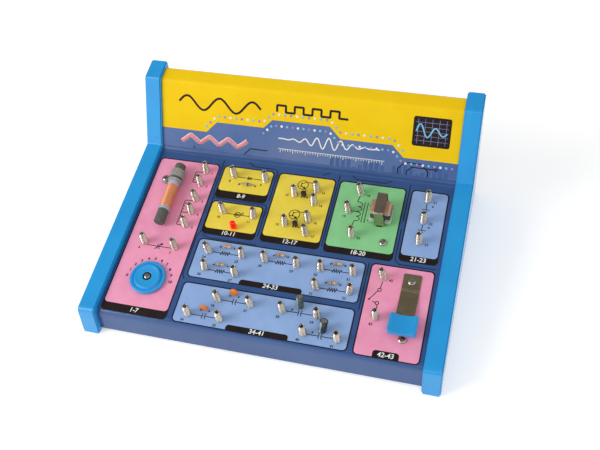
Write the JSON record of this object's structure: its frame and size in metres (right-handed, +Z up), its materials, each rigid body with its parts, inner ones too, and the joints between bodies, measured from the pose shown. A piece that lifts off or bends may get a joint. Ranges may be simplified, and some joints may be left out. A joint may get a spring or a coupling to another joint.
{
  "type": "electronics project kit",
  "caption": "Sloping console between two end rails: spring terminals, small components, rod antenna, tuning dial, transformer and press key on a deck, battery bay below.",
  "frame": {"origin": "centre of the bounding box's bottom, on the table", "axes": "+X to the right across the console, -Y to the front lip where the user sits, +Z up"},
  "size_m": [0.3, 0.223, 0.1168],
  "materials": {
    "navy_panel": "semi-matt moulded",
    "sky_blue_plastic": "satin moulded",
    "base_plastic": "matt moulded",
    "steel": "plated",
    "nickel_spring": "bright nickel plate",
    "brass": "turned",
    "spring_leaf": "rolled, dull",
    "ferrite": "sintered",
    "dark_grey_plastic": "matt",
    "former_plastic": "translucent nylon",
    "enamelled_copper": "enamelled wire",
    "clip_plastic": "ribbed moulding",
    "core_steel": "varnished laminations",
    "bobbin_tape": "tape over winding",
    "resistor_body": "lacquered",
    "diode_glass": "clear glass bead",
    "led_red": "clear tinted resin",
    "black_moulding": "moulded epoxy",
    "disc_orange": "dipped",
    "can_sleeve": "shrunk sleeve",
    "capacitor_case": "moulded",
    "cell_jacket": "plain jacket"
  },
  "bodies": {
    "console": {"console_panel": "navy_panel", "left_side_rail": "sky_blue_plastic", "right_side_rail": "sky_blue_plastic", "base_cover": "base_plastic", "base_screw_left": "steel", "base_screw_right": "steel", "battery_cell_1": "cell_jacket", "battery_cell_2": "cell_jacket", "battery_link_strip": "steel", "battery_contact_front": "steel", "battery_contact_back": "steel", "tuning_capacitor_case": "capacitor_case", "ferrite_rod": "ferrite", "rod_cap_front": "dark_grey_plastic", "rod_cap_back": "dark_grey_plastic", "coil_former": "former_plastic", "coil_winding": "enamelled_copper", "rod_clip": "clip_plastic", "rod_clip_screw": "steel", "panel_screw": "steel", "transformer_core": "core_steel", "transformer_bobbin": "bobbin_tape", "transformer_strap": "steel", "key_leaf_tab": "spring_leaf", "key_screw": "steel", "key_contact_screw": "steel", "diode_8_9": "diode_glass", "led_10_11": "led_red", "transistor_12_14": "black_moulding", "transistor_15_17": "black_moulding", "resistor_24_25": "resistor_body", "resistor_26_27": "resistor_body", "resistor_28_29": "resistor_body", "resistor_30_31": "resistor_body", "resistor_32_33": "resistor_body", "disc_capacitor_34_35": "disc_orange", "disc_capacitor_36_37": "disc_orange", "can_capacitor_38_39": "can_sleeve", "can_capacitor_40_41": "can_sleeve", "spring_terminal_1": "nickel_spring", "spring_terminal_2": "nickel_spring", "spring_terminal_3": "nickel_spring", "spring_terminal_4": "nickel_spring", "spring_terminal_5": "nickel_spring", "spring_terminal_6": "nickel_spring", "spring_terminal_7": "nickel_spring", "spring_terminal_18": "nickel_spring", "spring_terminal_19": "nickel_spring", "spring_terminal_20": "nickel_spring", "spring_terminal_21": "nickel_spring", "spring_terminal_22": "nickel_spring", "spring_terminal_23": "nickel_spring", "spring_terminal_42": "nickel_spring", "spring_terminal_43": "nickel_spring"},
    "dial": {"tuning_dial": "sky_blue_plastic", "tuning_shaft": "brass", "dial_screw": "steel"},
    "key": {"key_leaf_arm": "spring_leaf", "key_cap": "sky_blue_plastic"},
    "door": {"battery_door": "base_plastic"}
  },
  "joints": [
    {"name": "dial_turn", "type": "hinge", "parent": "console", "child": "dial", "pos_m": [-0.1018, -0.06786, 0.02877], "axis": [0, -0.1683, 0.9857], "range_deg": [-90, 90]},
    {"name": "key_press", "type": "hinge", "parent": "console", "child": "key", "pos_m": [0.1143, -0.0443, 0.03335], "axis": [1, 0, 0], "range_deg": [0, 5.5], "stiffness_Nm_per_rad": 0.6},
    {"name": "door_slide", "type": "slide", "parent": "console", "child": "door", "axis": [0, 1, 0], "range_m": [0, 0.034]}
  ]
}
